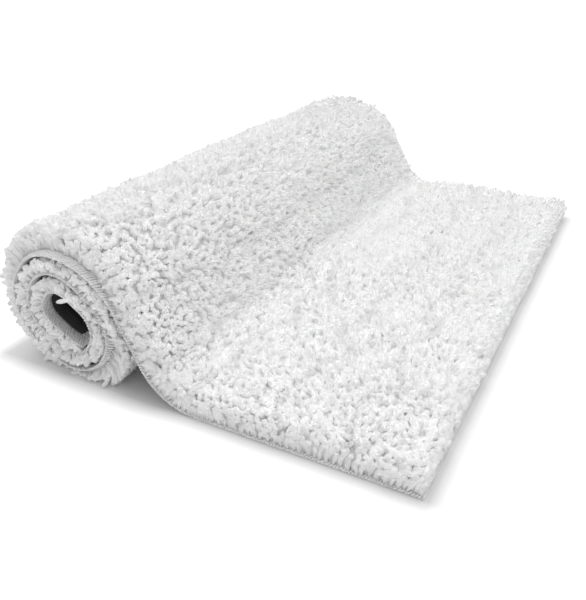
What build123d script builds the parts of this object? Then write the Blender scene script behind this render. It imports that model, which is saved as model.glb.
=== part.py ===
from build123d import *
from collections import namedtuple
from math import atan2, cos, degrees, radians, sin, sqrt
import os

os.makedirs("parts", exist_ok=True)

# A tufted bath mat, half of it flat on the floor with the pile up, the other half rolled up
# underneath itself with the pile outwards. +X runs along the mat to its flat end, +Y across it
# along the roll, +Z up. The origin is on the floor, in the middle of the footprint.

# ---- the mat, laid out flat (mm) ----
mat_width = 500.0  # across, over the overlocked edges
mat_length = 800.0  # along, over the overlocked edges
coating_thick = 1.2  # rubbery non-slip coating underneath
cloth_thick = 1.4  # woven base cloth that the yarn is tufted through
pile_free = 19.0  # yarn standing clear of the cloth where nothing presses it
pile_overhang = 3.0  # how far the yarn leans out over the flat end
thread_thick = 0.6  # overlock thread, laid over both faces and round the edge
overlock_width = 10.0  # how far the overlocking reaches in from the edge
stitch_width = 0.8  # needle thread along the inner border of the overlocking

# ---- how it is rolled ----
pile_rolled = 11.0  # yarn squeezed between one turn and the next
pile_under = 5.5  # yarn squeezed flat under the roll
turn_gap = 0.2  # air left between the yarn and the turn outside it
core_radius = 7.0  # tightest bend, at the inner end
quarter_bends = 9  # whole quarter turns from the shoulder in to the inner end
long_side = 13.0  # the roll is a little oval: straight stretches between its quarter bends
short_side = 3.0
lean = 56.0  # degrees that the oval leans, counted from level at the top of the roll
tail_turn = 13.0  # degrees of the last bend, before the straight inner end
foot_radius = 50.0  # where the mat curls up off the floor
climb_angle = 64.0  # slope of the straight climb from there to the shoulder, in degrees
climb_gap = 1.3  # air between the climb and the yarn of the turn under it

# ---- what follows from those ----
mat_thick = coating_thick + cloth_thick  # everything but the yarn
pile_top = mat_thick + pile_free
pitch = mat_thick + pile_rolled + turn_gap  # from one turn to the next
pile_inner_top = pitch - turn_gap
half_width = mat_width / 2
band_edge = half_width - overlock_width  # inner border of the side overlocking, from the middle


def bend_radius(quarter):
    """Radius of a quarter bend's underside: each is a quarter of the pitch tighter than the last,
    so every turn lies one pitch inside the turn before it."""
    return core_radius + (quarter_bends + 1 - quarter) * pitch / 4


tail_reach = bend_radius(quarter_bends - 3) - turn_gap  # room round the centre of the last bend

# The shoulder is as wide as it takes for the climb to stand off the turn under it: that turn has
# a long side and a bend a quarter pitch wider below its top bend, and both push the climb out.
side_slope = radians(90 - lean)
under_climb = radians(climb_angle) - side_slope
push = long_side * sin(under_climb) + pitch / 4 * (1 - cos(under_climb)) + climb_gap - turn_gap
shoulder_radius = bend_radius(0) + push / (1 - cos(radians(climb_angle)))


# ---- the section: runs and bends of the mat's underside, from the flat end in to the roll ----
Stretch = namedtuple("Stretch", "length radius turn")


def run(length):
    return Stretch(length, 0.0, 0.0)


def bend(radius, turn):
    """A bend of so many degrees: positive curls towards the underside, negative towards the pile."""
    return Stretch(radius * abs(radians(turn)), radius, turn)


def section_path(flat_run, climb_run):
    """The whole section, with the place in it of the bend at the far left, of the lowest point and
    of the last bend, where the straight inner end begins."""
    path = [run(flat_run), bend(foot_radius, -climb_angle), run(climb_run)]
    path += [bend(shoulder_radius, climb_angle), bend(bend_radius(0), lean), run(short_side)]
    left = len(path)
    path += [bend(bend_radius(1), 90), run(long_side), bend(bend_radius(2), 90 - lean)]
    lowest = len(path)
    path += [bend(bend_radius(2), lean), run(short_side)]
    for quarter in range(3, quarter_bends + 1):
        side = long_side if quarter % 2 else short_side
        path += [bend(bend_radius(quarter), 90), run(side)]
    # The inner end runs straight until its outer corner is a gap short of the turn outside it.
    tail_run = sqrt(tail_reach**2 - (core_radius + mat_thick + thread_thick) ** 2)
    tail = len(path)
    path += [bend(core_radius, tail_turn), run(tail_run)]
    return path, left, lowest, tail


def stations(path, start_x):
    """Point and heading (degrees) of the underside at the start of each stretch, and at the end."""
    x, z, heading = start_x, 0.0, 180.0
    found = [(x, z, heading)]
    for stretch in path:
        if stretch.turn:
            chord = 2 * stretch.radius * sin(radians(abs(stretch.turn) / 2))
        else:
            chord = stretch.length
        along = radians(heading + stretch.turn / 2)
        x, z = x + chord * cos(along), z + chord * sin(along)
        heading += stretch.turn
        found.append((x, z, heading))
    return found


# The climb is as long as it takes for the roll's lowest point to rest on its squeezed yarn, and
# the flat part is what is left of the mat's length.
rolled_path, left, lowest, tail = section_path(0.0, 0.0)
climb_run = (mat_thick + pile_under - stations(rolled_path, 0.0)[lowest][1]) / sin(radians(climb_angle))
flat_run = mat_length - climb_run - sum(stretch.length for stretch in rolled_path)
path, left, lowest, tail = section_path(flat_run, climb_run)
places = stations(path, 0.0)


def at(index, share, offset):
    """The point a share of the way along a stretch, offset from the underside towards the pile."""
    x, z, heading = places[index]
    stretch = path[index]
    turned = stretch.turn * share
    if stretch.turn:
        chord = 2 * stretch.radius * sin(radians(abs(turned) / 2))
    else:
        chord = stretch.length * share
    along = radians(heading + turned / 2)
    facing = radians(heading + turned)
    return (x + chord * cos(along) + offset * sin(facing), z + chord * sin(along) - offset * cos(facing))


# The footprint's middle is midway between the yarn's left side and its overhang at the flat end.
leftmost = at(left, (90 - lean) / 90, pile_top)[0]
start_x = -(leftmost + pile_overhang) / 2
places = stations(path, start_x)


def trace(offset, first=0, last=len(path), start_trim=0.0, end_trim=0.0):
    """Draws the stretches from first up to last at an offset from the underside. A trim shortens the
    straight stretch at that end of the mat, and a negative one lengthens it."""
    for index in range(first, last):
        begin = start_trim / path[0].length if index == 0 else 0.0
        end = 1 - end_trim / path[-1].length if index == len(path) - 1 else 1.0
        a, b = at(index, begin, offset), at(index, end, offset)
        if path[index].turn:
            ThreePointArc(a, at(index, (begin + end) / 2, offset), b)
        else:
            Line(a, b)


def cap(lower, upper, index, trim=0.0):
    """Draws the straight line across the mat between two offsets, at either end of it."""
    share = trim / path[0].length if index == 0 else 1 - trim / path[-1].length
    Line(at(index, share, lower), at(index, share, upper))


def layer_outline(lower, upper, trim):
    """Draws the closed outline of one layer over the mat's whole length, short of it by a trim."""
    trace(lower, start_trim=trim, end_trim=trim)
    cap(lower, upper, len(path) - 1, trim)
    trace(upper, start_trim=trim, end_trim=trim)
    cap(lower, upper, 0, trim)


def end_outline(index, near, far, lower, upper):
    """Draws a small rectangle on the section at one end, from near to far in from that end."""
    if index == 0:
        shares = near / path[0].length, far / path[0].length
    else:
        shares = 1 - near / path[-1].length, 1 - far / path[-1].length
    corners = [at(index, shares[0], lower), at(index, shares[0], upper)]
    corners += [at(index, shares[1], upper), at(index, shares[1], lower)]
    Polyline(*corners, close=True)


middle = Plane.XZ

# ---- overlock thread: a wrapped edge, with the cloth and coating inside it ----
side_bands = {}
for side, sign in (("near", 1), ("far", -1)):
    with BuildPart() as side_band:
        with BuildSketch(middle.offset(sign * band_edge)):
            with BuildLine():
                layer_outline(0.0, mat_thick + thread_thick, 0.0)
            make_face()
        extrude(amount=sign * overlock_width)
        with BuildSketch(middle.offset(sign * band_edge)):
            with BuildLine():
                layer_outline(thread_thick, mat_thick, thread_thick)
            make_face()
        extrude(amount=sign * (overlock_width - thread_thick), mode=Mode.SUBTRACT)
    side_band.part.label = f"overlock_{side}_side"
    side_bands[side] = side_band.part

end_bands = {}
for end, index in (("flat", 0), ("rolled", len(path) - 1)):
    with BuildPart() as end_band:
        with BuildSketch(middle):
            with BuildLine():
                end_outline(index, 0.0, overlock_width, 0.0, mat_thick + thread_thick)
            make_face()
            with BuildLine():
                end_outline(index, thread_thick, overlock_width, thread_thick, mat_thick)
            make_face(mode=Mode.SUBTRACT)
        extrude(amount=band_edge, both=True)
    end_band.part.label = f"overlock_{end}_end"
    end_bands[end] = end_band.part

# ---- needle thread: a row of stitches along the inner border of each band, underneath ----
side_stitches = {}
for side, sign in (("near", 1), ("far", -1)):
    with BuildPart() as side_stitch:
        with BuildSketch(middle.offset(sign * band_edge)):
            with BuildLine():
                layer_outline(0.0, thread_thick, overlock_width)
            make_face()
        extrude(amount=-sign * stitch_width)
    side_stitch.part.label = f"needle_thread_{side}_side"
    side_stitches[side] = side_stitch.part

end_stitches = {}
for end, index in (("flat", 0), ("rolled", len(path) - 1)):
    with BuildPart() as end_stitch:
        with BuildSketch(middle):
            with BuildLine():
                end_outline(index, overlock_width, overlock_width + stitch_width, 0.0, thread_thick)
            make_face()
        extrude(amount=band_edge - stitch_width, both=True)
    end_stitch.part.label = f"needle_thread_{end}_end"
    end_stitches[end] = end_stitch.part

threads = [*side_bands.values(), *end_bands.values(), *side_stitches.values(), *end_stitches.values()]

# ---- base cloth, inside the overlocking on all four sides ----
with BuildPart() as base_cloth:
    with BuildSketch(middle):
        with BuildLine():
            layer_outline(coating_thick, mat_thick, thread_thick)
        make_face()
    extrude(amount=half_width - thread_thick, both=True)
base_cloth.part.label = "base_cloth"

# ---- non-slip coating under the cloth, thinner where the threads are pressed into it ----
with BuildPart() as nonslip_coating:
    with BuildSketch(middle):
        with BuildLine():
            layer_outline(0.0, coating_thick, thread_thick)
        make_face()
    extrude(amount=half_width - thread_thick, both=True)
    add(threads, mode=Mode.SUBTRACT)
nonslip_coating.part.label = "nonslip_coating"

# ---- yarn pile: full height outside the roll, squeezed from its lowest point inwards ----
# Its inner end fills the wedge between the straight tail and the turn outside it, whose inside
# is an arc about the centre of the last bend.
tail_x, tail_z, tail_heading = places[tail]
last_heading = radians(tail_heading)
tail_centre = (tail_x - core_radius * sin(last_heading), tail_z + core_radius * cos(last_heading))
corner_x, corner_z = at(len(path) - 1, 1.0, mat_thick + thread_thick)
corner_angle = degrees(atan2(corner_z - tail_centre[1], corner_x - tail_centre[0]))
wedge_start = tail_heading - 90
with BuildPart() as yarn_pile:
    with BuildSketch(middle):
        with BuildLine():
            trace(mat_thick, start_trim=-pile_overhang)
            cap(mat_thick, mat_thick + thread_thick, len(path) - 1)
            CenterArc(tail_centre, tail_reach, wedge_start, (corner_angle - wedge_start) % 360)
            trace(pile_inner_top, lowest, tail)
            Line(at(lowest, 0.0, pile_inner_top), at(lowest, 0.0, pile_top))
            trace(pile_top, 0, lowest, start_trim=-pile_overhang)
            cap(mat_thick, pile_top, 0, -pile_overhang)
        make_face()
        # The floor flattens whatever would hang below it.
        Rectangle(mat_length, pile_top, align=(Align.CENTER, Align.MAX), mode=Mode.SUBTRACT)
    extrude(amount=half_width, both=True)
    add(threads, mode=Mode.SUBTRACT)
yarn_pile.part.label = "yarn_pile"

for piece in [yarn_pile.part, base_cloth.part, nonslip_coating.part, *threads]:
    export_step(piece, f"parts/{piece.label}.step")
print("flat run", round(flat_run, 1), "climb run", round(climb_run, 1), "leftmost", round(leftmost, 1))
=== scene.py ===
import math

import bpy
import numpy as np
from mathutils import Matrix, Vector


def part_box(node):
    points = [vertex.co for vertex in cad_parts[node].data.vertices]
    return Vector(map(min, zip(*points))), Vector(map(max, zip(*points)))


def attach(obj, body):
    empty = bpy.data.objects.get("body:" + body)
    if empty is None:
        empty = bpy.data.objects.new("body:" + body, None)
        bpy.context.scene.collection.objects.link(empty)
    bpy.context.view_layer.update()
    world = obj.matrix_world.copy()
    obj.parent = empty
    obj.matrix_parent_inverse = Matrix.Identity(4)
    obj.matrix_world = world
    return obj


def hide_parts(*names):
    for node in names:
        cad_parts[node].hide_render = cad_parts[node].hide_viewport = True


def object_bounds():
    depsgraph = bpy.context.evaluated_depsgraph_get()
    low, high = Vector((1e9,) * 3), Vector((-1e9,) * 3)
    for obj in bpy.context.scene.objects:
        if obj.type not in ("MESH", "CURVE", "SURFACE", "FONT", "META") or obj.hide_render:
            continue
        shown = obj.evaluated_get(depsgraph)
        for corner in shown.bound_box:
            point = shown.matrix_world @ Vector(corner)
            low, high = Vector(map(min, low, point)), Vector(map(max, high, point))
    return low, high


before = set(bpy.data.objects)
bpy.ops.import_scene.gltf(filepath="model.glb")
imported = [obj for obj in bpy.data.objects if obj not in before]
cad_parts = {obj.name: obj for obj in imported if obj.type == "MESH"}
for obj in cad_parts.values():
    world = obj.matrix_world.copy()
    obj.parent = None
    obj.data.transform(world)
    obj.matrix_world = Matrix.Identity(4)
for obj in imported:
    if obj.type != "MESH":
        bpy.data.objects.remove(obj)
cad_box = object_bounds()

# A tufted bath mat, half of it flat with its pile up and half rolled up underneath itself. Sizes are
# in metres. A place on the mat is its station, measured along the mat from the flat end, its y
# across the mat, and its offset from the underside towards the pile.

# ---- the mat, laid out flat ----
mat_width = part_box("overlock_far_side")[1].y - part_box("overlock_near_side")[0].y
mat_length = 0.8
half_width = mat_width / 2
coating_thick = 0.0012
cloth_thick = 0.0014
mat_thick = coating_thick + cloth_thick
thread_thick = 0.0006
overlock_width = 0.010
stitch_width = 0.0008

# ---- how it is rolled ----
# From the flat end the mat bends up at the foot, climbs straight, bends over the shoulder to the
# roll's top, and winds inwards. The roll has sagged: its turns have long and short straight sides,
# the short ones at the lean and the long ones square to them. The tail ends straight, where it
# meets the turn round it.
quarter_turn = math.radians(90)
pile_squeezed = 0.011  # between two turns
pile_under = 0.0055  # between the roll and the floor
turn_gap = 0.0002
pitch = mat_thick + pile_squeezed + turn_gap
core_radius = 0.007
quarter_bends = 9
long_side = 0.013
short_side = 0.003
lean = math.radians(56)
tail_turn = math.radians(13)
foot_radius = 0.050
climb_angle = math.radians(64)
climb_gap = 0.0013  # between the climb and the roll's first long side


# ---------------------------------------------------------------- the mat's section
def bend_radius(quarter):
    """Each quarter bend of the roll is a quarter of the pitch tighter than the one before it."""
    return core_radius + (quarter_bends + 1 - quarter) * pitch / 4


class Section:
    """The underside's line in the X-Z plane: stretches of (length, turn), each a straight run or an
    arc tangent to the last. The heading grows evenly by the turn along a stretch, and the point is
    the stretch's start plus a chord: its length times sin(t/2)/(t/2), t being the turn so far, in
    the direction of the heading half way."""

    def __init__(self, stretches, start_x):
        lengths, turns = np.array(stretches).T
        self.station = np.concatenate([[0], np.cumsum(lengths)])
        self.curl = turns / lengths
        self.heading = math.pi + np.concatenate([[0], np.cumsum(turns)])
        self.start = np.zeros((len(lengths) + 1, 2))
        steps = self.chord(self.heading[:-1], lengths, turns)
        self.start[1:] = np.cumsum(steps, axis=0)
        self.start[:, 0] += start_x

    @staticmethod
    def chord(heading, length, turn):
        """From the start of an arc to its end: the class's formula, for np.sinc(t / 2pi) is
        sin(t/2) / (t/2)."""
        along = heading + turn / 2
        return (length * np.sinc(turn / math.tau))[..., None] * np.stack([np.cos(along), np.sin(along)], -1)

    def at(self, station):
        """Point (x, z) and heading of the underside at each station."""
        station = np.asarray(station, float)
        last = len(self.curl) - 1
        stretch = np.clip(np.searchsorted(self.station, station, side="right") - 1, 0, last)
        past = station - self.station[stretch]
        turn = past * self.curl[stretch]
        heading = self.heading[stretch]
        return self.start[stretch] + self.chord(heading, past, turn), heading + turn

    def bend(self, station):
        """How sharply the mat bends at each station, 1 / radius, and above 0 where its pile fans out."""
        stretch = np.searchsorted(self.station, station, side="right") - 1
        return self.curl[np.clip(stretch, 0, len(self.curl) - 1)]

    def axes(self, station):
        """Unit vectors along the mat and out of its pile side, at each station."""
        heading = self.at(station)[1]
        still = np.zeros_like(heading)
        along = np.stack([np.cos(heading), still, np.sin(heading)], -1)
        outward = np.stack([np.sin(heading), still, -np.cos(heading)], -1)
        return along, outward

    def place(self, station, y, offset):
        """The point at a station, a y across the mat and an offset from the underside."""
        station, y, offset = np.broadcast_arrays(station, y, offset)
        point = self.at(station)[0]
        outward = self.axes(station)[1]
        spot = np.stack([point[..., 0], y, point[..., 1]], -1)
        return spot + offset[..., None] * outward


side_slope = quarter_turn - lean
under_climb = climb_angle - side_slope
push = long_side * math.sin(under_climb) + pitch / 4 * (1 - math.cos(under_climb)) + climb_gap - turn_gap
shoulder_radius = bend_radius(0) + push / (1 - math.cos(climb_angle))
tail_reach = bend_radius(quarter_bends - 3) - turn_gap


def mat_stretches(flat_run, climb_run):
    """Runs and bends, each (length, turn), from the flat end in to the roll's core, and how many of
    them lead to the lowest point. A bend's length is its radius times its turn, and the tail runs
    on to where it is tail_reach from the middle, by Pythagoras."""
    bends = [(flat_run, 0), (foot_radius * climb_angle, -climb_angle), (climb_run, 0)]
    bends += [(shoulder_radius * climb_angle, climb_angle), (bend_radius(0) * lean, lean), (short_side, 0)]
    bends += [(bend_radius(1) * quarter_turn, quarter_turn), (long_side, 0)]
    bends += [(bend_radius(2) * side_slope, side_slope)]
    lowest = len(bends)
    bends += [(bend_radius(2) * lean, lean), (short_side, 0)]
    for quarter in range(3, quarter_bends + 1):
        bends += [(bend_radius(quarter) * quarter_turn, quarter_turn)]
        bends += [(long_side if quarter % 2 else short_side, 0)]
    tail_run = math.sqrt(tail_reach**2 - (core_radius + mat_thick + thread_thick) ** 2)
    bends += [(core_radius * tail_turn, tail_turn), (tail_run, 0)]
    return bends, lowest


# The climb leaves room for the pile under the roll's lowest point, and the flat run takes what is
# left of the mat's length.
no_run = 1e-9
rolled, lowest = mat_stretches(no_run, no_run)
climb_run = (mat_thick + pile_under - Section(rolled, 0).start[lowest, 1]) / math.sin(climb_angle)
flat_run = mat_length - climb_run - sum(length for length, turn in rolled)
mat = Section(mat_stretches(flat_run, climb_run)[0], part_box("overlock_flat_end")[1].x)
foot_station, shoulder_station, lowest_station = mat.station[[1, 3, lowest]]


pressed_band = 0.005
pressed_share = 0.52


def pressed(offset, inward):
    """An offset near the edge, where the binding draws the mat thin: at the edge itself it is little
    over half of what it is 5 mm in, and eased between by t*t*(3-2t)."""
    t = np.clip(inward / pressed_band, 0, 1)
    return offset * (pressed_share + (1 - pressed_share) * t * t * (3 - 2 * t))


def pile_room(station):
    """Free distance outward from the cloth to the next turn's underside or the floor: the nearest
    crossing of each station's outward line with the underside's line, drawn as a polyline every half
    millimetre. Two lines cross where the cross product of their gap and one direction, over that
    of both directions, is the distance along the other."""
    no_crossing = 9.0
    line = mat.at(np.linspace(0, mat_length, 1601))[0]
    start, edge = line[:-1], np.diff(line, axis=0)
    outward = mat.axes(station)[1][:, None, [0, 2]]
    origin = mat.place(station, 0.0, mat_thick)[:, None, [0, 2]]
    across = outward[..., 0] * edge[:, 1] - outward[..., 1] * edge[:, 0]
    across = np.where(np.abs(across) < 1e-12, 1e-12, across)
    gap = start - origin
    reach = (gap[..., 0] * edge[:, 1] - gap[..., 1] * edge[:, 0]) / across
    share = (gap[..., 0] * outward[..., 1] - gap[..., 1] * outward[..., 0]) / across
    met = (reach > 1e-5) & (share >= 0) & (share <= 1)
    nearest = np.where(met, reach, no_crossing).min(axis=1)
    down = np.minimum(outward[:, 0, 1], -1e-6)
    floor_reach = np.where(outward[:, 0, 1] < -1e-3, origin[:, 0, 1] / -down, no_crossing)
    return np.minimum(nearest, floor_reach)


# ---------------------------------------------------------------- meshes from arrays
def piece_of(name, corners, loops, sizes, finish, replaced, maps=None, values=None):
    """A mesh from corner points, the corner numbers of its faces end to end, and each face's size."""
    mesh = bpy.data.meshes.new(name)
    mesh.vertices.add(len(corners))
    mesh.vertices.foreach_set("co", np.ascontiguousarray(corners, np.float32).ravel())
    mesh.loops.add(len(loops))
    mesh.loops.foreach_set("vertex_index", np.ascontiguousarray(loops, np.int32))
    mesh.polygons.add(len(sizes))
    starts = np.concatenate([[0], np.cumsum(sizes)[:-1]])
    mesh.polygons.foreach_set("loop_start", starts.astype(np.int32))
    mesh.update(calc_edges=True)
    mesh.polygons.foreach_set("use_smooth", np.ones(len(sizes), bool))
    for map_name, spots in (maps or {}).items():
        layer = mesh.uv_layers.new(name=map_name)
        layer.data.foreach_set("uv", np.ascontiguousarray(spots, np.float32).ravel())
    for value_name, numbers in (values or {}).items():
        given = mesh.attributes.new(value_name, "FLOAT", "POINT")
        given.data.foreach_set("value", np.ascontiguousarray(numbers, np.float32).ravel())
    mesh.materials.append(finish)
    piece = bpy.data.objects.new(name, mesh)
    bpy.context.scene.collection.objects.link(piece)
    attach(piece, "root")
    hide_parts(*replaced)
    return piece


def strands(points, side, radius, start_angle, sides):
    """Closed strands, many at once. points is (strands, stops, 3); the first and last stops are the
    poles, and each stop between is a ring of corners: centre + radius * (cos a * e1 + sin a * e2),
    where e1 is side squared up to the strand's direction and e2 stands square to both. radius is
    (strands, stops - 2, sides), start_angle (strands, stops - 2). Gives corners, loops, face sizes,
    and for each loop of one strand its share round it and its share along it."""
    count, stops = points.shape[:2]
    rings = stops - 2
    toward = np.gradient(points, axis=1)
    toward /= np.linalg.norm(toward, axis=2, keepdims=True)
    e1 = side - (side * toward).sum(2, keepdims=True) * toward
    e1 /= np.linalg.norm(e1, axis=2, keepdims=True)
    e2 = np.cross(toward, e1)
    angle = start_angle[..., None] + math.tau * np.arange(sides) / sides
    ring = points[:, 1:-1, None] + radius[..., None] * (
        np.cos(angle)[..., None] * e1[:, 1:-1, None] + np.sin(angle)[..., None] * e2[:, 1:-1, None]
    )
    corners = np.concatenate([points[:, :1], ring.reshape(count, -1, 3), points[:, -1:]], axis=1)
    k = np.arange(sides)
    after = (k + 1) % sides
    row = 1 + np.arange(rings - 1)[:, None] * sides
    quads = np.stack([row + k, row + after, row + sides + after, row + sides + k], -1).reshape(-1, 4)
    tip = 1 + rings * sides
    first = np.stack([np.zeros(sides, int), 1 + after, 1 + k], -1)
    last = np.stack([tip - sides + k, tip - sides + after, np.full(sides, tip)], -1)
    one = np.concatenate([first.ravel(), quads.ravel(), last.ravel()])
    sizes = np.concatenate([np.full(sides, 3), np.full(len(quads), 4), np.full(sides, 3)])
    loops = (np.arange(count)[:, None] * (tip + 1) + one).ravel()

    def unrolled(columns, stops_of):
        """Where loops lie on the strand rolled out flat: columns round it by stops along it."""
        return np.stack([np.stack(part, -1).ravel() for part in (columns, stops_of)])

    zero, last_stop = 0 * k, 0 * k + rings + 1
    rows, columns = np.meshgrid(np.arange(1, rings), k, indexing="ij")
    head = unrolled([k + 0.5, k + 1, k], [zero, zero + 1, zero + 1])
    body = unrolled([columns, columns + 1, columns + 1, columns], [rows, rows, rows + 1, rows + 1])
    end = unrolled([k, k + 1, k + 0.5], [last_stop - 1, last_stop - 1, last_stop])
    around, stop = np.concatenate([head, body, end], axis=1)
    along = np.linspace(0, 1, stops)[stop.astype(int)]
    return corners, loops, np.tile(sizes, count), around / sides, along


def strand_maps(count, around, along, turns, length):
    """Two maps for strands: OFBake gives each strand its own cell of a square grid, with a margin
    round it, and yarn_uv runs round the strand and along it, shifted from strand to strand."""
    margin, inside = 0.06, 0.88
    cells = math.ceil(math.sqrt(count))
    order = np.arange(count)[:, None]
    cell_u = (order % cells + margin + inside * around) / cells
    cell_v = (order // cells + margin + inside * along) / cells
    cell = np.stack([cell_u, cell_v], -1)
    shift = np.random.default_rng(count).random((count, 1))
    yarn_u = np.broadcast_to(around * turns, cell_u.shape) + np.round(shift * 8)
    yarn = np.stack([yarn_u, along * length + shift * 5], -1)
    return {"OFBake": cell.reshape(-1, 2), "yarn_uv": yarn.reshape(-1, 2)}


def eased(share):
    """Shares from 0 to 1 drawn a little closer together at both ends, by a sine of one full turn."""
    return share - 0.12 * np.sin(math.tau * share)


def closed_sheet(name, upper, lower, finish, replaced, maps, values=None):
    """Two grids of points of one shape, the upper face and the lower, joined by a wall round the
    rim. maps give a UV for each point of the grid."""
    across, down = upper.shape[0] - 1, upper.shape[1] - 1
    corners = np.concatenate([upper.reshape(-1, 3), lower.reshape(-1, 3)])
    number = np.arange((across + 1) * (down + 1)).reshape(across + 1, down + 1)
    a, b, c, d = number[:-1, :-1], number[:-1, 1:], number[1:, 1:], number[1:, :-1]
    top = np.stack([a, b, c, d], -1).reshape(-1, 4)
    under = np.stack([d, c, b, a], -1).reshape(-1, 4) + number.size
    rim = np.concatenate([number[0, ::-1], number[1:, 0], number[-1, 1:], number[-2:0:-1, -1]])
    ahead = np.roll(rim, -1)
    wall = np.stack([rim, ahead, ahead + number.size, rim + number.size], -1)
    faces = np.concatenate([top, under, wall])
    loops, sizes = faces.ravel(), np.full(len(faces), 4)
    spots = {map_name: np.concatenate([flat.reshape(-1, 2)] * 2)[loops] for map_name, flat in maps.items()}
    return piece_of(name, corners, loops, sizes, finish, replaced, spots, values)


def sheet_grid(station_ends, y_ends, cells):
    """Stations by ys, closer together towards the rim."""
    s = station_ends[0] + (station_ends[1] - station_ends[0]) * eased(np.linspace(0, 1, cells[0] + 1))
    y = y_ends[0] + (y_ends[1] - y_ends[0]) * eased(np.linspace(0, 1, cells[1] + 1))
    return np.meshgrid(s, y, indexing="ij")


def slab(name, station_ends, y_ends, lower, upper, finish, slot, replaced, cells=(480, 12)):
    """A sheet that follows the section, between a lower and an upper offset. weave_uv is station
    and y, in metres."""
    s, y = sheet_grid(station_ends, y_ends, cells)
    inward = np.minimum(half_width - np.abs(y), np.minimum(s, mat_length - s))
    above, below = (mat.place(s, y, pressed(offset, inward)) for offset in (upper, lower))
    return closed_sheet(name, above, below, finish, replaced, {"weave_uv": np.stack([s, y], -1)})


# ---------------------------------------------------------------- finishes
class Value:
    """A socket's value. Sums, differences and products of values add the Math nodes for them."""

    def __init__(self, finish, socket):
        self.finish, self.socket = finish, socket

    def __add__(self, other):
        return self.finish.maths("ADD", self, other)

    def __sub__(self, other):
        return self.finish.maths("SUBTRACT", self, other)

    def __rsub__(self, other):
        return self.finish.maths("SUBTRACT", other, self)

    def __mul__(self, other):
        return self.finish.maths("MULTIPLY", self, other)

    __radd__, __rmul__ = __add__, __mul__


class Finish:
    """One material. node() adds any node: its settings first, then the values or links of its
    inputs, by name or number. The shader is a Principled one, wired by surface()."""

    def __init__(self, name):
        self.material = bpy.data.materials.new(name)
        self.material.use_nodes = True
        self.tree = self.material.node_tree
        self.shader = self.tree.nodes["Principled BSDF"]

    def put(self, socket, value):
        """Link a Value to an input, or set the input to a plain number, vector or colour."""
        if isinstance(value, Value):
            self.tree.links.new(value.socket, socket)
        else:
            socket.default_value = value

    def node(self, kind, inputs=None, output=0, **settings):
        """Any node, and the Value of one of its outputs."""
        made = self.tree.nodes.new("ShaderNode" + kind)
        for setting, value in settings.items():
            setattr(made, setting, value)
        for key, value in (inputs or {}).items():
            self.put(made.inputs[key], value)
        return Value(self, made.outputs[output])

    def maths(self, operation, a, b=0.0):
        """A Math node on one or two numbers."""
        return self.node("Math", {0: a, 1: b}, operation=operation)

    def blend(self, share, a, b):
        """Colour a times (1 - share), plus colour b times share."""
        return self.node("Mix", {0: share, 6: a, 7: b}, output=2, data_type="RGBA")

    def stretched(self, vector, scale):
        """A vector with each part multiplied by its own scale."""
        return self.node("VectorMath", {0: vector, 1: scale}, operation="MULTIPLY")

    def noise(self, vector, scale, detail=2.0, roughness=0.5):
        """Fractal noise, from 0 to 1."""
        inputs = {"Vector": vector, "Scale": scale, "Detail": detail, "Roughness": roughness}
        return self.node("TexNoise", inputs)

    def ridges(self, vector, scale, way, **inputs):
        """Waves from 0 to 1: the sine of one of the vector's axes, or of its diagonal."""
        extra = {name.title(): value for name, value in inputs.items()}
        extra |= {"Vector": vector, "Scale": scale}
        return self.node("TexWave", extra, bands_direction=way, output="Fac")

    def surface(self, bump=None, strength=0.5, depth=0.001, **inputs):
        """Set or link the shader's inputs, each named in lower case, and raise its bump."""
        for name, value in inputs.items():
            self.put(self.shader.inputs[name.replace("_", " ").title().replace("Ior", "IOR")], value)
        if bump is not None:
            raised = self.node("Bump", {"Height": bump, "Strength": strength, "Distance": depth})
            self.put(self.shader.inputs["Normal"], raised)
        return self.material

    def let_light_spread(self, weight, distance):
        """Light spreads inside the yarn over the distance, the same for red, green and blue."""
        self.surface(subsurface_weight=weight, subsurface_radius=(1.0, 1.0, 1.0), subsurface_scale=distance)
        self.shader.subsurface_method = "BURLEY"


def grey(level):
    """An opaque grey, from 0 for black to 1 for white."""
    return (level, level, level, 1)


def yarn_finish():
    """White microfibre: tone differs a little from tuft to tuft and is deeper at the root; fine
    fibres run along each tuft as streaks of tone and bump, and the ends are matt and fuzzy."""
    yarn = Finish("white_microfibre_yarn")
    tone = yarn.node("Attribute", attribute_name="tone", output="Fac")
    height = yarn.node("Attribute", attribute_name="height", output="Fac")
    line = yarn.node("UVMap", uv_map="yarn_uv")
    fibres = yarn.noise(yarn.stretched(line, (22, 1.6, 1)), 1.0, 3.0, 0.6)
    patch = yarn.noise(yarn.node("TexCoord", output="Object"), 60.0)
    share = tone * 0.45 + fibres * 0.25 + patch * 0.3
    dark, light, root = grey(0.90), grey(0.95), grey(0.92)
    colour = yarn.blend(height, root, yarn.blend(share, dark, light))
    yarn.surface(bump=fibres, strength=0.35, depth=0.0004, base_color=colour, roughness=0.98 - 0.12 * fibres)
    yarn.surface(sheen_weight=0.25, sheen_roughness=0.6)
    yarn.let_light_spread(0.5, 0.005)
    return yarn.material


def thread_finish(name, light, dark, shine):
    """Twisted sewing thread: plies wind round it as slanted streaks of tone and bump."""
    thread = Finish(name)
    line = thread.node("UVMap", uv_map="yarn_uv")
    plies = thread.ridges(line, 1.0, "DIAGONAL", distortion=1.2, detail=1.0)
    fuzz = thread.noise(thread.node("TexCoord", output="Object"), 900.0)
    share = plies * 0.5 + fuzz * 0.5
    colour = thread.blend(share, grey(dark), grey(light))
    thread.surface(bump=share, strength=0.5, depth=0.0002, base_color=colour, roughness=0.95 - shine * plies)
    thread.surface(sheen_weight=0.2)
    thread.let_light_spread(0.5, 0.003)
    return thread.material


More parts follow.
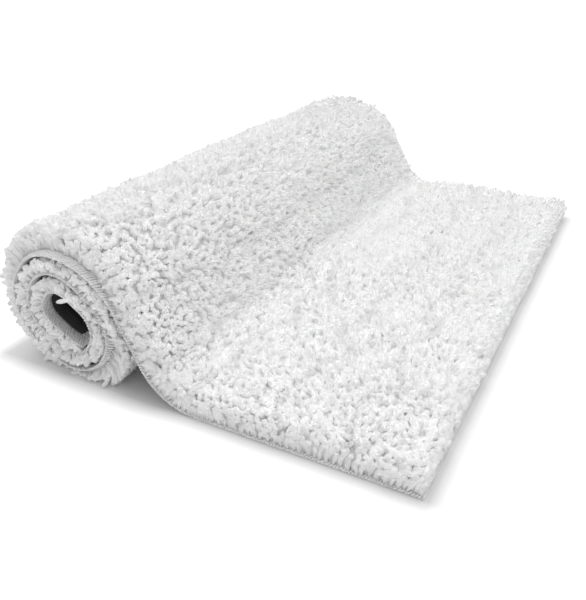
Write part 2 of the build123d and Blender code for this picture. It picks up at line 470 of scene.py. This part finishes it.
def cloth_finish():
    """Plain woven cloth: warp and weft ridges a millimetre apart, and slubs along the yarn."""
    cloth = Finish("woven_base_cloth")
    line = cloth.node("UVMap", uv_map="weave_uv")
    weave = cloth.ridges(line, 310.0, "X") * cloth.ridges(line, 310.0, "Y")
    slub = cloth.noise(line, 240.0, 3.0)
    colour = cloth.blend(weave * 0.6 + slub * 0.4, grey(0.80), grey(0.92))
    roughness = 0.9 - slub * 0.05
    return cloth.surface(bump=weave, strength=0.6, depth=0.0003, base_color=colour, roughness=roughness)


def rubber_finish():
    """Dark rubbery coating: a fine grain, the weave of the cloth showing through, and cloudy wear."""
    rubber = Finish("dark_nonslip_rubber")
    line = rubber.node("UVMap", uv_map="weave_uv")
    grain = rubber.noise(line, 1500.0, 4.0, 0.6)
    cloud = rubber.noise(line, 28.0, 4.0, 0.55)
    scrim = rubber.ridges(line, 160.0, "X", distortion=0.5) * rubber.ridges(line, 160.0, "Y", distortion=0.5)
    colour = rubber.blend(cloud * 0.4 + grain * 0.3 + scrim * 0.3, grey(0.010), grey(0.055))
    height, roughness = grain * 0.6 + scrim * 0.4, 0.72 + 0.2 * cloud
    return rubber.surface(bump=height, strength=0.5, depth=0.0003, base_color=colour, roughness=roughness)


pile_yarn = yarn_finish()
overlock_thread = thread_finish("overlock_thread", light=0.95, dark=0.86, shine=0.12)
needle_thread = thread_finish("needle_thread", light=0.90, dark=0.76, shine=0.3)
woven_cloth = cloth_finish()
nonslip_rubber = rubber_finish()


# ---------------------------------------------------------------- the pile
tuft_height = 0.0180
tuft_radius = 0.0017
tuft_rings = np.array([0.04, 0.42, 0.70, 0.87, 0.965])  # as shares of a tuft's length
tuft_swell = np.array([0.72, 0.92, 1.06, 1.04, 0.72])
tuft_sides = 5
least_height = 0.0012
squeezed_height = 0.0175  # the most that tufts have between turns
floor_clear = 0.0002
rim_clear = 0.0007
clump_rise, patch_rise, tuft_rise = 0.0007, 0.0011, 0.0008  # how much heights differ
patch_lean, tuft_lean = 0.0026, 0.0020
clump_share = 0.25  # of the way to a clump's centre that its tips reach
tuft_spacing = 0.00306
edge_spacing = 0.0027
edge_bed = 0.0135  # tufts stand at the edge spacing in this band along the edges
first_root = 0.0015
clump_size = 0.0095
patch_size = 0.03  # tufts stand and lean alike over patches of about this size
rounded_band = 0.016
round_reach = 0.0108
round_middle = 0.010
lowest_lean = math.radians(27)
hidden_from = lowest_station + 0.055
innermost_turn = 0.085
top_station = shoulder_station + shoulder_radius * climb_angle


def wander(station, y, scale, seed):
    """Smooth random field from -1 to 1: random values at grid corners a scale apart, eased between
    by t*t*(3-2t) in both directions."""
    shape = int(mat_length / scale) + 3, int(mat_width / scale) + 3
    chance = np.random.default_rng(seed).uniform(-1, 1, shape)
    u, v = (station + scale) / scale, (y + half_width + scale) / scale
    i, j = np.clip(u.astype(int), 0, shape[0] - 2), np.clip(v.astype(int), 0, shape[1] - 2)
    a, b = np.clip(u - i, 0, 1), np.clip(v - j, 0, 1)
    a, b = a * a * (3 - 2 * a), b * b * (3 - 2 * b)
    low = chance[i, j] * (1 - b) + chance[i, j + 1] * b
    high = chance[i + 1, j] * (1 - b) + chance[i + 1, j + 1] * b
    return low * (1 - a) + high * a


def planted(first, last, inner, outer, spacing, seed):
    """Roots of tufts as rows half a spacing out of step, each root nudged by up to about a quarter of
    the spacing, with their y between inner and outer. Neighbours stand in even triangles, so rows
    are half the square root of 3 of the spacing apart."""
    chance = np.random.default_rng(seed)
    row = spacing * math.sqrt(3) / 2
    along, across = np.arange(first, last, row), np.arange(inner, outer, spacing)
    rows, columns = np.meshgrid(along, across, indexing="ij")
    odd = (np.arange(rows.shape[0]) % 2)[:, None] * spacing / 2
    nudge = chance.uniform(-0.27, 0.27, (2, *rows.shape)) * spacing
    return (rows + nudge[0]).ravel(), np.clip(columns + odd + nudge[1], inner, outer).ravel()


def clump_pull(station, y, size, seed):
    """From each root to the nearest clump centre, one centre at random in each cell of a grid, and
    a number from 0 to 1 that is the clump's own."""
    border = 2  # cells past the mat's first edges, so that every root has cells all round
    shape = 2, int(mat_length / size) + 6, int(mat_width / size) + 6
    chance = np.random.default_rng(seed).uniform(0.1, 0.9, shape)
    i = np.floor(station / size).astype(int) + border
    j = np.floor((y + half_width) / size).astype(int) + border
    nearest = np.full(station.shape, np.inf)
    pull_s, pull_y, kind = np.zeros((3, *station.shape))
    for a in (-1, 0, 1):
        for b in (-1, 0, 1):
            centre_s, centre_y = chance[:, i + a, j + b]
            ds = (i + a - border + centre_s) * size - station
            dy = (j + b - border + centre_y) * size - half_width - y
            distance = np.hypot(ds, dy)
            nearer = distance < nearest
            nearest = np.where(nearer, distance, nearest)
            pull_s, pull_y = np.where(nearer, ds, pull_s), np.where(nearer, dy, pull_y)
            kind = np.where(nearer, centre_s * 7.3 % 1, kind)
    return pull_s, pull_y, kind


def bare_binding(station):
    """How far in from the side edges the pile starts: at once on the flat and the climb. The bend
    pulls it back over the shoulder, by 4.2 mm from 34 mm past its start."""
    return 0.0042 * np.clip((station - shoulder_station - 0.004) / 0.030, 0, 1)


def past_foot(station):
    """0 on the flat, growing to 1 over the first 30 mm of the climb."""
    return np.clip((station - foot_station) / 0.03, 0, 1)


def edge_round(inward, reach):
    """For a root so far in from an edge: how far out its tip leans, and what share of the full height
    it has. Tips lie on a quarter ellipse: the roots in the rounded band share out its right angle,
    but for the lowest part of it, where no tips lie. Further in, the lean fades as exp(-d / 25 mm)."""
    share = np.clip((inward - first_root) / (rounded_band - first_root), 0, 1)
    angle = lowest_lean + share * (quarter_turn - lowest_lean)
    tip = round_middle - reach * np.cos(angle)
    out = np.minimum(inward, rounded_band) - tip
    faded = out * np.exp(-(inward - rounded_band) / 0.025)
    return np.where(inward < rounded_band, out, faded), np.sin(angle)


def edge_rounds(station, inward):
    """The quarter rounds at a side edge and at the flat end: the lean towards each, and each one's
    share of the full height."""
    out_y, rise_y = edge_round(inward, round_reach - 0.0018 * past_foot(station))
    out_s, rise_s = edge_round(station, round_reach)
    return out_y, rise_y, out_s, rise_s


def full_height(station, y, kind, patch, chance):
    """Tufts' height where nothing presses on them: it differs from clump to clump, from patch to
    patch and from tuft to tuft. Towards the far side it is more on the flat, and less round the
    roll's top, as a bell curve of the station."""
    height = tuft_height + clump_rise * (kind - 0.5) * 2 + patch_rise * wander(*patch, patch_size, 12)
    height += chance.normal(0, tuft_rise, len(station))
    far = np.clip(y / half_width, 0, 1)
    on_flat = np.clip((foot_station - station) / 0.04, 0, 1)
    on_top = np.exp(-(((station - top_station) / 0.045) ** 2))
    return height + far * (0.0032 * on_flat - 0.0044 * on_top)


def open_tips(station, y, along, chance):
    """Tips of tufts where nothing presses on them: how far along the mat and across it from the
    root, how high, and the share of the full height that the edges leave. A tip is a quarter of
    the way to its clump's centre, plus a lean shared by its patch, plus its own chance lean, plus
    the lean of the quarter round at an edge. It stays inside the edge."""
    count = len(station)
    edge, out = half_width - np.abs(y), np.sign(y)
    inward = edge - bare_binding(station)
    pull_s, pull_y, kind = clump_pull(station, y, clump_size, 11)
    patch = 0.75 * station + 0.4 * y + 0.11, 0.7 * y - 0.3 * (station - 0.24)
    height = full_height(station, y, kind, patch, chance)
    tip_s = clump_share * pull_s + patch_lean * wander(*patch, patch_size, 13)
    tip_s += chance.normal(0, tuft_lean, count)
    tip_y = clump_share * pull_y + patch_lean * wander(*patch, patch_size, 14)
    tip_y += chance.normal(0, tuft_lean, count)
    tip_s -= 0.002 * along[:, 2]  # weight: down the slope
    out_y, rise_y, out_s, rise_s = edge_rounds(station, inward)
    risen = rise_y * rise_s
    loose = chance.normal(1.0, 0.22, count)
    tip_y += out * out_y * loose
    tip_s -= out_s * loose
    shorter = np.minimum(rise_y, rise_s) * (1 + 0.6 * (loose - 1) * (1 - risen))
    height = least_height + (height - least_height) * shorter
    tip_y = out * np.minimum(out * tip_y, inward - rim_clear - 0.0003 * past_foot(station))
    tip_s = np.maximum(tip_s, rim_clear - station)
    return tip_s, tip_y, height, risen


def edge_bulge(station, edge, outward, share):
    """How far tufts between the turns bulge out of the roll's end: 1.5 to 5.1 mm, the most half way
    up the gap, and more for roots further in, dying away from 12 mm in. Those of the innermost
    turn that face up and towards the flat end, over the hollow, bulge a little more."""
    bulge = 0.0015 + 0.0036 * np.sin(math.pi * share) + 0.45 * (edge - 0.003)
    bulge *= np.exp(-np.maximum(edge - 0.012, 0) / 0.006)
    facing = np.clip(outward @ np.array([0.77, 0, 0.64]) - 0.2, 0, 1)
    over_core = facing * (station > mat_length - innermost_turn)
    return np.minimum(bulge + 0.0045 * over_core * np.exp(-np.maximum(edge - 0.006, 0) / 0.004), 0.0075)


def fanned(station, edge, height, risen, rolled_under):
    """How much fatter than usual tufts are towards their tips: as the square root of how far the
    bend spreads them, a little more at the edges and in the band behind the quarter round, and
    never more than 1.35. Squeezed tufts aren't fatter."""
    spread = np.sqrt(np.clip(1 + 0.8 * height * mat.bend(station), 1, 1.7)) * (1.12 - 0.12 * risen)
    behind_round = (edge - bare_binding(station) - 0.015) / 0.009
    spread += 0.20 * np.exp(-(behind_round**2))
    return np.where(rolled_under, 1.0, np.minimum(spread, 1.35))


def tufts(name, station, y, seed):
    """Cut tufts, each a round-ended strand bent in an arc from upright at its root. For a tip that
    is x to one side and h above the root, the arc turns through 2 atan(x / h). Its points are
    (r (1 - cos a), r sin a) for angles a up to the turn, and a sine that grows along it kinks it."""
    chance = np.random.default_rng(seed)
    count = len(station)
    edge = half_width - np.abs(y)
    out = np.sign(y)
    rolled_under = station > lowest_station
    along, outward = mat.axes(station)
    tip_s, tip_y, height, risen = open_tips(station, y, along, chance)
    # between the turns the yarn fills the gap and bulges out at the edges
    share = chance.uniform(0.25, 1.0, count) ** 0.7
    fill = pile_room(station) - np.where(rolled_under, 0.75, 1.1) * tuft_radius
    bulge = edge_bulge(station, edge, outward, share)
    tip_y = np.where(rolled_under, out * bulge + chance.normal(0, 0.0012, count), tip_y)
    height = np.where(rolled_under, np.minimum(fill * share, squeezed_height), height)
    height = np.maximum(np.minimum(height, fill), least_height)

    sideways = np.hypot(tip_s, tip_y) + 1e-6
    turn = 2 * np.arctan2(sideways, height)
    length = height * turn / np.sin(np.minimum(turn, 3.0))
    heading = (tip_s[:, None] * along + tip_y[:, None] * np.array([0, 1.0, 0])) / sideways[:, None]
    stops = np.concatenate([[0.0], tuft_rings, [1.0]])
    bent = turn[:, None] * stops
    over = (length / turn)[:, None] * (1 - np.cos(bent))
    up = (length / turn)[:, None] * np.sin(bent)
    root = mat.place(station, y, pressed(mat_thick, np.minimum(edge, station)))
    cross = np.cross(outward, heading)
    kink = chance.normal(0, 0.0011, (2, count, 1))
    kink = kink * np.sin(stops * 5.5 + chance.uniform(0, 6, (2, count, 1))) * stops
    kink *= (1.8 - 0.8 * risen + 0.5 * rolled_under)[:, None]
    points = root[:, None] + (over + kink[0])[..., None] * heading[:, None]
    points += up[..., None] * outward[:, None] + kink[1][..., None] * cross[:, None]
    points[..., 2] = np.maximum(points[..., 2], least_height * np.minimum(1, stops * 3))

    spread = fanned(station, edge, height, risen, rolled_under)
    girth = tuft_radius * chance.uniform(0.84, 1.16, (count, 1)) * tuft_swell
    girth = girth * (1 + (spread - 1)[:, None] * tuft_rings)
    radius = girth[..., None] * chance.uniform(0.78, 1.22, (count, len(tuft_rings), tuft_sides))
    angle = chance.uniform(0, math.tau, (count, 1)) + 0.5 * tuft_rings
    side = np.broadcast_to(cross[:, None], points.shape)
    corners, loops, sizes, around, share_along = strands(points, side, radius, angle, tuft_sides)
    corners[..., 2] = np.maximum(corners[..., 2], floor_clear)
    maps = strand_maps(count, around, share_along, 1.0, 1.0)
    per_corner = np.concatenate([[0.0], np.repeat(tuft_rings, tuft_sides), [1.0]])
    tone = np.broadcast_to(chance.uniform(0, 1, (count, 1)), (count, len(per_corner)))
    values = {"tone": tone, "height": np.broadcast_to(np.clip(per_corner * 1.5 - 0.2, 0, 1), tone.shape)}
    corners = corners.reshape(-1, 3)
    return piece_of(name, corners, loops, sizes, pile_yarn, ["yarn_pile"], maps, values)


def short_fibres():
    """The short, dense fibres low in the pile: a closed sheet over the cloth, bumpy by a smooth
    random field. It stands at three quarters of the tufts' height, is rounded off towards the open
    edges as their tips are, with half their lean, and keeps clear of the floor."""
    rim = 0.0022
    s, y = sheet_grid((rim, lowest_station + 0.050), (-half_width + rim, half_width - rim), (110, 110))
    edge, out = half_width - np.abs(y), np.sign(y)
    bare = bare_binding(s)
    y = out * np.maximum(np.abs(y) - bare * np.exp(-np.maximum(edge - rim, 0) / 0.01), 0)
    out_y, rise_y, out_s, rise_s = edge_rounds(s, np.maximum(edge - bare, rim))
    height = 0.75 * tuft_height * np.minimum(rise_y, rise_s) + 0.0013 * wander(s, y, 0.0052, 15)
    room = pile_room(s[:, 0])[:, None]
    height = np.maximum(np.minimum(height, 0.7 * room - 0.001), 0.001)
    base = pressed(mat_thick, np.minimum(edge, s))
    lower = mat.place(s, y, base)
    upper = mat.place(s, y + out * 0.5 * out_y * np.clip((edge - rim) / 0.004, 0, 1), base + height)
    upper = upper - (0.5 * out_s * np.clip((s - rim) / 0.004, 0, 1))[..., None] * mat.axes(s)[0]
    maps = {"yarn_uv": np.stack([y * 100, s * 50], -1)}
    values = {"tone": np.full(2 * s.size, 0.5), "height": np.full(2 * s.size, 0.8)}
    replaced = ["yarn_pile"]
    return closed_sheet("pile_short_fibres", upper, lower, pile_yarn, replaced, maps, values)


strip_names = (
    "flat_end", "flat_outer", "flat_inner", "foot", "climb",
    "shoulder", "roll_top", "roll_side", "roll_low", "roll_under",
)


def pile_strips():
    """The pile in strips across the mat, from the flat end to where the roll hides it, and the two
    edges of the turns inside the roll. The borders between strips wander, so that no straight line
    shows there."""
    near_edge, far_edge = -half_width + first_root, half_width - first_root
    near_bed, far_bed = -half_width + edge_bed, half_width - edge_bed
    beds = [planted(edge_bed, hidden_from, near_bed, far_bed, tuft_spacing, 21)]
    beds += [planted(first_root, edge_bed, near_bed, far_bed, edge_spacing, 22)]
    beds += [planted(first_root, hidden_from, near_edge, near_bed, edge_spacing, 23)]
    beds += [planted(first_root, hidden_from, far_bed, far_edge, edge_spacing, 24)]
    station, y = np.concatenate(beds, axis=1)
    keep = half_width - np.abs(y) >= first_root + bare_binding(station) - 1e-6
    station, y = station[keep], y[keep]
    cuts = np.linspace(0, hidden_from, len(strip_names) + 1)
    border_line = station + 0.014 * wander(station, y, 0.025, 16)
    strip = np.clip(np.digitize(border_line, cuts) - 1, 0, len(strip_names) - 1)
    made = []
    for number, name in enumerate(strip_names):
        chosen = strip == number
        made.append(tufts(f"pile_{name}", station[chosen], y[chosen], 30 + number))
    seen_end, seen_depth = mat_length - 0.004, -half_width + 0.019
    for label, sign in (("near", -1), ("far", 1)):
        station, y = planted(hidden_from, seen_end, near_edge, seen_depth, edge_spacing, 25)
        made.append(tufts(f"pile_inner_turns_{label}", station, -sign * y, 40 + sign))
    return made


# ---------------------------------------------------------------- the bound edges
wrap_pitch = 0.0021
wrap_radius = 0.00070
wrap_slant = 0.0060
stitch_length = 0.0026
stitch_radius = 0.00042
stitch_line = overlock_width + stitch_width / 2


def wrap_line(share):
    """The edge's binding seen in section: how far in from the edge, and at what offset, for shares
    from 0 at the inner border on the pile side, round the edge, to 1 at the inner border below. It
    is a straight run, a half circle round the edge and a straight run back."""
    top, under = mat_thick + 0.0003, wrap_radius
    middle, bow = (top + under) / 2, (top - under) / 2
    reach = overlock_width - 0.0006
    curve = math.pi * bow / 2 + 0.0004
    flat_part = reach - bow
    total = 2 * flat_part + 2 * curve
    run = share * total
    angle = np.clip((run - flat_part) / (2 * curve), 0, 1) * math.pi
    inward = bow - bow * np.sin(angle)
    inward = np.where(run < flat_part, reach - run, inward)
    inward = np.where(run > total - flat_part, bow + run - (total - flat_part), inward)
    return inward, np.maximum(pressed(middle + bow * np.cos(angle), inward), 1.1 * wrap_radius)


def wrapped_edge(name, length, spot, run_way, replaced, seed):
    """Overlock thread round one edge, one loop for every pitch. spot(run, inward, offset) gives the
    point at a run along the edge. On both faces a loop slants back from the edge, in a V round it."""
    chance = np.random.default_rng(seed)
    count = round(length / wrap_pitch)
    over, round_edge, back = np.linspace(0.015, 0.40, 4), [0.46, 0.5, 0.54], np.linspace(0.60, 0.985, 4)
    shares = np.concatenate([[0.0], over, round_edge, back, [1.0]])
    inward, offset = wrap_line(shares)
    start = (np.arange(count) + 0.5)[:, None] * length / count
    slant = -wrap_slant * 2 * np.abs(shares - 0.5) + chance.normal(0, 0.00007, (count, 1))
    slack = chance.uniform(-0.0004, 0.0004, (count, 1)) * (np.abs(shares - 0.5) * 2) ** 4
    run = np.clip(start + slant, 0.0002, length - 0.0002)
    points = spot(run, inward + slack, np.broadcast_to(offset, run.shape))
    swell = np.array([0.7, 1, 1, 1, 1, 1, 1, 1, 1, 1, 0.7])
    radius = (wrap_radius * swell * chance.uniform(0.92, 1.08, (count, 1)))[..., None] * np.ones(4)
    angle = np.full((count, len(swell)), math.pi / 4)
    corners, loops, sizes, around, along = strands(points, run_way(run), radius, angle, 4)
    maps = strand_maps(count, around, along, 6.0, 30.0)
    corners = corners.reshape(-1, 3)
    return piece_of(name, corners, loops, sizes, overlock_thread, replaced, maps)


def stitch_row(name, length, spot, side_way, replaced, seed):
    """Needle thread: a row of short stitches, each a spindle in nine tenths of its stitch, whose
    ends rise from its middle by the cube of the distance."""
    chance = np.random.default_rng(seed)
    count = round(length / stitch_length)
    shares = np.array([0.0, 0.06, 0.28, 0.5, 0.72, 0.94, 1.0])
    middle = (np.arange(count) + 0.5)[:, None] * length / count
    start = middle + (shares - 0.5) * stitch_length * 0.9
    height = 0.00043 + 0.00030 * (np.abs(shares - 0.5) * 2) ** 3
    drift = chance.normal(0, 0.00006, (count, 1)) + 0 * start
    points = spot(start, drift, np.broadcast_to(height, start.shape))
    radius = stitch_radius * np.array([0.55, 0.95, 1.0, 0.95, 0.55]) * np.ones((count, 1))
    radius, angle = radius[..., None] * np.ones(5), np.zeros((count, 5))
    corners, loops, sizes, around, along = strands(points, side_way(start), radius, angle, 5)
    maps = strand_maps(count, around, along, 6.0, 12.0)
    corners = corners.reshape(-1, 3)
    return piece_of(name, corners, loops, sizes, needle_thread, replaced, maps)


def across_mat(run):
    """The direction across the mat, for every run."""
    return np.broadcast_to(np.array([0, 1.0, 0]), (*run.shape, 3))


def bound_side(side, sign):
    """A side's binding and stitching. A run there is a station, and the edge is at y = half_width
    times the sign."""

    def spot(run, inward, offset):
        return mat.place(run, sign * (half_width - inward), offset)

    def row(run, drift, offset):
        return spot(run, stitch_line + drift, offset)

    def along(run):
        return mat.axes(run)[0]

    thread, stitches = f"overlock_thread_{side}", f"needle_stitches_{side}"
    return [
        wrapped_edge(thread, mat_length, spot, along, [f"overlock_{side}_side"], 50 + sign),
        stitch_row(stitches, mat_length, row, across_mat, [f"needle_thread_{side}_side"], 60 + sign),
    ]


def bound_end(end, sign):
    """An end's binding and stitching, between the sides'. A run there goes across the mat from its
    near side, and the sign is 1 at the flat end, where stations start, and -1 at the rolled end."""
    length = mat_width - 2 * overlock_width

    def spot(run, inward, offset):
        return mat.place(inward if sign > 0 else mat_length - inward, run - length / 2, offset)

    def row(run, drift, offset):
        return spot(run, stitch_line + drift, offset)

    def along(run):
        return np.broadcast_to(mat.axes(0.0 if sign > 0 else mat_length)[0], (*run.shape, 3))

    thread, stitches = f"overlock_thread_{end}_end", f"needle_stitches_{end}_end"
    return [
        wrapped_edge(thread, length, spot, across_mat, [f"overlock_{end}_end"], 54 + sign),
        stitch_row(stitches, length, row, along, [f"needle_thread_{end}_end"], 64 + sign),
    ]


# ---------------------------------------------------------------- the mat
def ends_within(inset):
    """First and last station, and first and last y, of a sheet that stops an inset from the edges."""
    return (inset, mat_length - inset), (-half_width + inset, half_width - inset)


def whole_mat():
    """The cloth, and everything that is sewn to it or laid on it. The cloth stops short of the edges
    by the thread's thickness, and the coating stops just under the binding."""
    base_cloth = slab(
        "base_cloth_woven", *ends_within(thread_thick), coating_thick, mat_thick,
        woven_cloth, "base_cloth", ["base_cloth"],
    )
    tucked = 0.0004
    coating = slab(
        "nonslip_coating_skin", *ends_within(overlock_width - tucked), 0.0, coating_thick,
        nonslip_rubber, "nonslip_rubber", ["nonslip_coating"],
    )
    trimmings = [short_fibres()] + pile_strips()
    trimmings += bound_side("near", -1) + bound_side("far", 1)
    trimmings += bound_end("flat", 1) + bound_end("rolled", -1)
    trimmings.append(coating)


# ---------------------------------------------------------------- studio
floor_half_side = 7.0
# how fast, per metre out from the mat's footprint, the floor's painted shadow gives way to white
painted_shadow_fade = 60  # per metre
camera_spot = (0.0699, 0.2937, 0.2903)  # past the flat end, out from the near side, and up
camera_turned = math.radians(27.84)
camera_tipped = math.radians(28.46)


def pale_floor():
    """A pale matt floor. For the camera alone it glows, by the distance out from the mat's footprint
    times the fade, up to 1, so that it is white there and keeps the mat's own shadow close in. Close round
    the footprint it glows less, and under it not at all: that is a painted shadow."""
    pale = Finish("pale_floor")
    place = pale.node("TexCoord", output="Object")
    clear = 0.0
    for axis, footprint in (("X", cad_box[1].x), ("Y", cad_box[1].y)):
        from_middle = pale.maths("ABSOLUTE", pale.node("SeparateXYZ", {0: place}, output=axis))
        clear = clear + pale.maths("MAXIMUM", from_middle - footprint, 0.0)
    seen = pale.node("LightPath", output="Is Camera Ray")
    # painted shadow: the floor glows nothing under the mat's footprint and rises to full white over the fade
    # round it
    glow_round_painted_shadow = pale.blend(pale.maths("MINIMUM", clear * painted_shadow_fade, 1.0) * seen, grey(0.0), grey(1.0))
    pale.surface(base_color=grey(0.92), roughness=0.9, specular_ior_level=0.0)
    pale.surface(emission_color=glow_round_painted_shadow, emission_strength=0.50)
    mesh = bpy.data.meshes.new("floor")
    signs = ((-1, -1), (1, -1), (1, 1), (-1, 1))
    corners = [(x * floor_half_side, y * floor_half_side, 0) for x, y in signs]
    mesh.from_pydata(corners, [], [(0, 1, 2, 3)])
    mesh.materials.append(pale.material)
    floor = bpy.data.objects.new("floor", mesh)
    bpy.context.scene.collection.objects.link(floor)


def studio():
    """A wide pale floor, an even white sky, one broad soft light from above on the flat end's side,
    and the camera, looking down past the roll's near end. Its sight line is turned from +Y towards
    -X and tipped down."""
    scene = bpy.context.scene
    pale_floor()
    scene.world = bpy.data.worlds.new("white_room")
    scene.world.use_nodes = True
    sky = scene.world.node_tree.nodes["Background"]
    sky.inputs["Color"].default_value = grey(1.0)
    sky.inputs["Strength"].default_value = 0.54

    sun = bpy.data.lights.new("soft_overhead", "SUN")
    sun.energy = 1.08
    sun.angle = math.radians(70)
    lamp = bpy.data.objects.new("soft_overhead", sun)
    lamp.rotation_euler = Vector((0.12, -0.34, -1.0)).to_track_quat("-Z", "Y").to_euler()
    scene.collection.objects.link(lamp)

    lens = bpy.data.cameras.new("camera")
    lens.lens = 41.06
    lens.sensor_width = 36
    camera = bpy.data.objects.new("camera", lens)
    past_flat_end, out_of_side, up = camera_spot
    camera.location = (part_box("overlock_flat_end")[1].x + past_flat_end, -half_width - out_of_side, up)
    level = math.cos(camera_tipped)
    sight = (-math.sin(camera_turned) * level, math.cos(camera_turned) * level, -math.sin(camera_tipped))
    camera.rotation_euler = Vector(sight).to_track_quat("-Z", "Y").to_euler()
    scene.collection.objects.link(camera)
    scene.camera = camera
    scene.view_settings.view_transform = "Standard"
    scene.cycles.diffuse_bounces = 10


whole_mat()
studio()
